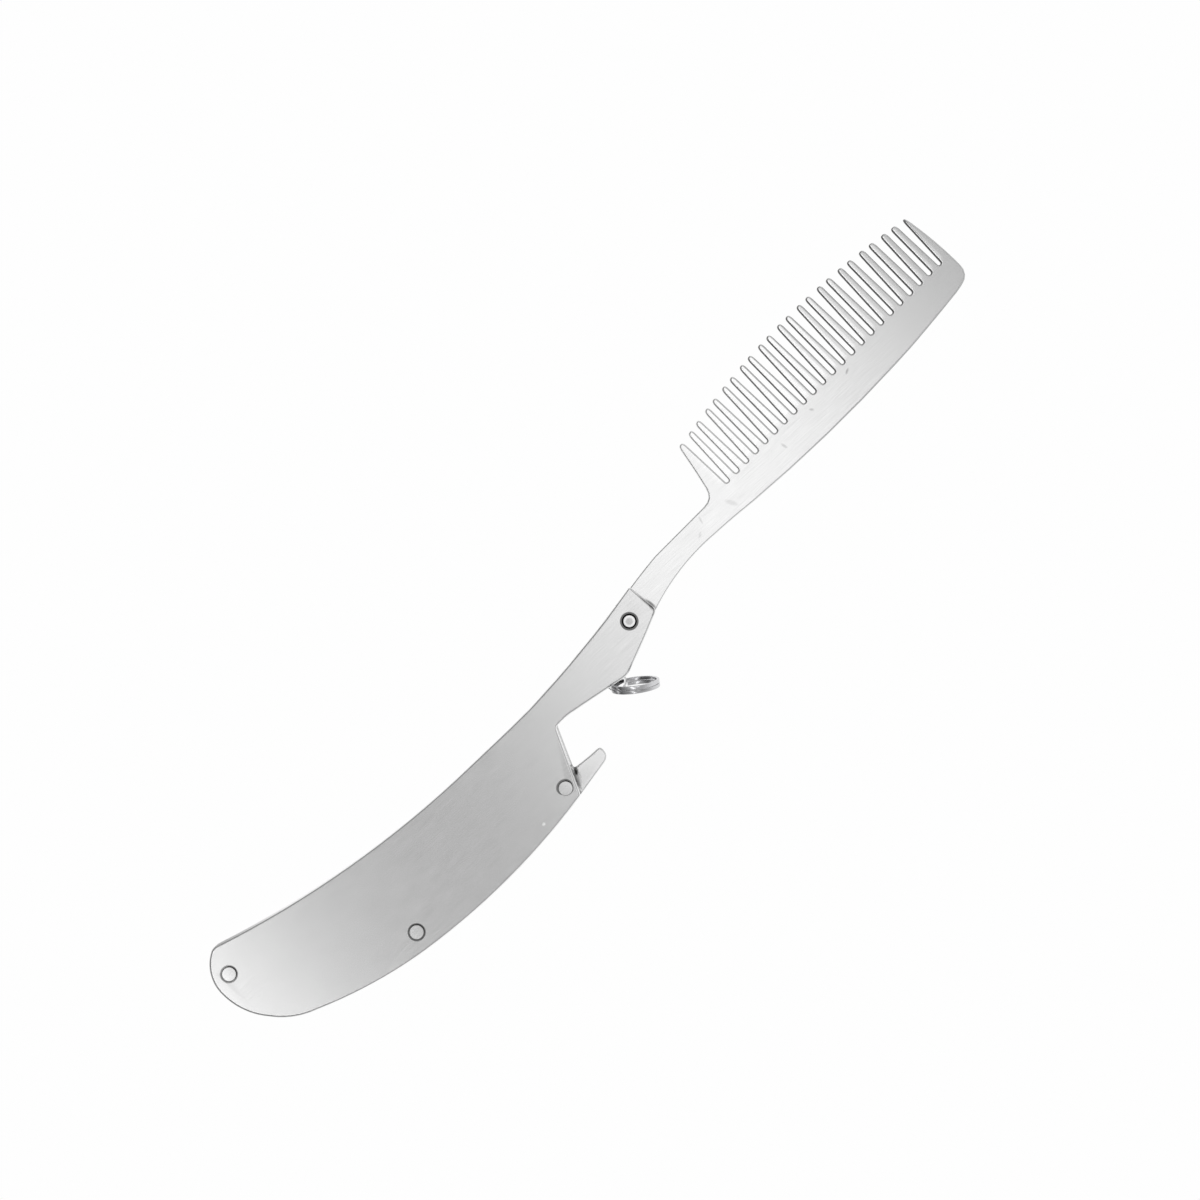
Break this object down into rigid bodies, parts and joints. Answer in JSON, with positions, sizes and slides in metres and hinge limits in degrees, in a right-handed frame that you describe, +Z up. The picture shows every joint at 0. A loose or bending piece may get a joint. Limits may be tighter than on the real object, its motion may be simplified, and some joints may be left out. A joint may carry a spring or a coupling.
{
  "type": "folding comb",
  "caption": "Slim folding comb in satin stainless steel, shown open: riveted two-plate handle with a crown cap opener notch, a flat fine-tooth blade and a small split ring.",
  "frame": {"origin": "middle of the open comb's footprint, at the height of the surface that it lies on", "axes": "+X from the handle's tail to the comb's free end, +Y towards the teeth, +Z up, out of the front scale"},
  "size_m": [0.173, 0.038, 0.0082],
  "materials": {
    "satin_steel": "satin",
    "blade_steel": "satin",
    "rivet_steel": "satin",
    "ring_wire": "polished"
  },
  "bodies": {
    "handle": {"scale_back": "satin_steel", "scale_front": "satin_steel", "opener_plate": "blade_steel", "rivet_pivot": "rivet_steel", "rivet_opener": "rivet_steel", "rivet_middle": "rivet_steel", "rivet_tail": "rivet_steel", "key_ring": "ring_wire"},
    "comb": {"comb_blade": "blade_steel"}
  },
  "joints": [
    {"name": "comb_fold", "type": "hinge", "parent": "handle", "child": "comb", "pos_m": [0.00551, -0.00084, 0.0018], "axis": [0, 0, 1], "range_deg": [0, 170]}
  ]
}
